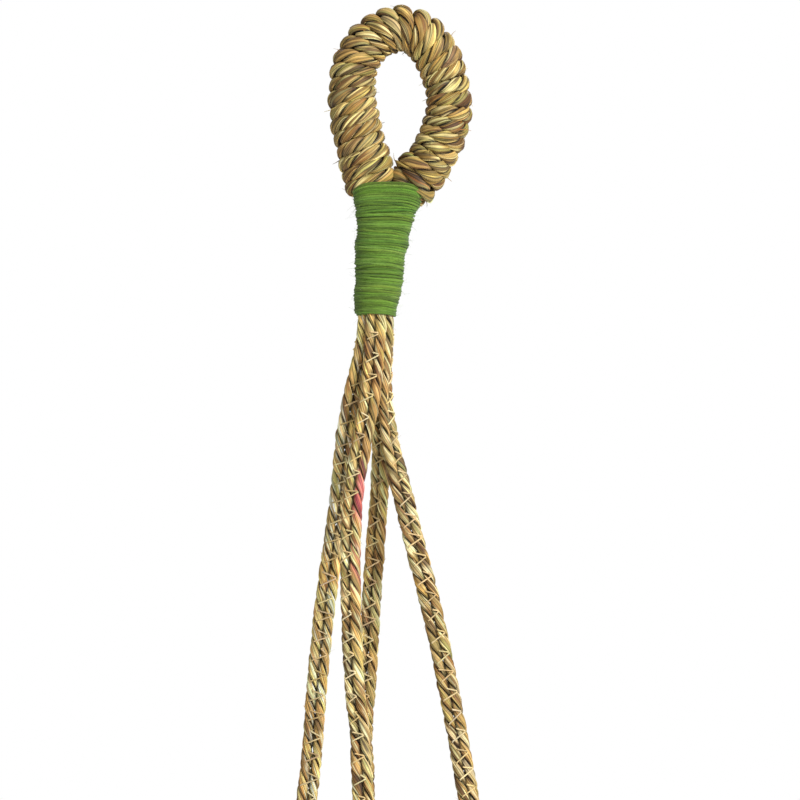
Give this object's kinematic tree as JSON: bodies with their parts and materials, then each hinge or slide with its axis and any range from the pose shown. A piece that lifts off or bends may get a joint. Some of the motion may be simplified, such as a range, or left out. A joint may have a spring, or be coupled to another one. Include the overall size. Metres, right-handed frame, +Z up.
{
  "type": "hanging plant holder",
  "caption": "Hanging plant holder of twisted seagrass cord: a wrapped hanging loop, a yarn-bound neck, sewn legs that part into a cradle for a pot, and a tassel.",
  "frame": {"origin": "where a hook bears: the highest inner point of the hanging loop's eye", "axes": "+Z up, against the way the holder hangs; +X across the eye, to the right seen from the front; +Y through the eye, away from the front"},
  "size_m": [0.1511, 0.151, 0.942],
  "materials": {
    "seagrass_cord": "matt twisted dried grass",
    "wrapping_cord": "matt twisted dried grass",
    "green_yarn": "matt spun yarn",
    "sewing_thread": "matt thread"
  },
  "bodies": {
    "head": {"core_cord_1": "seagrass_cord", "core_cord_2": "seagrass_cord", "core_cord_3": "seagrass_cord", "core_cord_4": "seagrass_cord", "loop_wrap": "wrapping_cord", "top_binding": "green_yarn"},
    "neck": {"neck_cords": "seagrass_cord"},
    "net": {"front_cord_a": "seagrass_cord", "front_cord_b": "seagrass_cord", "right_cord_a": "seagrass_cord", "right_cord_b": "seagrass_cord", "back_cord_a": "seagrass_cord", "back_cord_b": "seagrass_cord", "left_cord_a": "seagrass_cord", "left_cord_b": "seagrass_cord", "front_stitching": "sewing_thread", "right_stitching": "sewing_thread", "back_stitching": "sewing_thread", "left_stitching": "sewing_thread", "front_upper_binding": "green_yarn", "right_upper_binding": "green_yarn", "back_upper_binding": "green_yarn", "left_upper_binding": "green_yarn", "front_right_binding": "green_yarn", "back_right_binding": "green_yarn", "back_left_binding": "green_yarn", "front_left_binding": "green_yarn", "bottom_binding": "green_yarn"},
    "tassel_neck": {"tassel_neck_cords": "seagrass_cord"},
    "tassel": {"tassel_cord_1": "seagrass_cord", "tassel_cord_2": "seagrass_cord", "tassel_cord_3": "seagrass_cord", "tassel_cord_4": "seagrass_cord", "tassel_cord_5": "seagrass_cord", "tassel_cord_6": "seagrass_cord", "tassel_cord_7": "seagrass_cord", "tassel_cord_8": "seagrass_cord", "tassel_end_ties": "sewing_thread"}
  },
  "joints": [
    {"name": "swing_front_back", "type": "hinge", "parent": "head", "child": "neck", "pos_m": [-0.0124, 0, -0.1185], "axis": [1, 0, 0], "range_deg": [-20, 20]},
    {"name": "swing_side", "type": "hinge", "parent": "neck", "child": "net", "pos_m": [-0.0124, 0, -0.12257], "axis": [0, 1, 0], "range_deg": [-20, 20]},
    {"name": "tassel_front_back", "type": "hinge", "parent": "net", "child": "tassel_neck", "pos_m": [-0.01, 0, -0.8015], "axis": [1, 0, 0], "range_deg": [-20, 20]},
    {"name": "tassel_side", "type": "hinge", "parent": "tassel_neck", "child": "tassel", "pos_m": [-0.01, 0, -0.80557], "axis": [0, 1, 0], "range_deg": [-20, 20]}
  ]
}
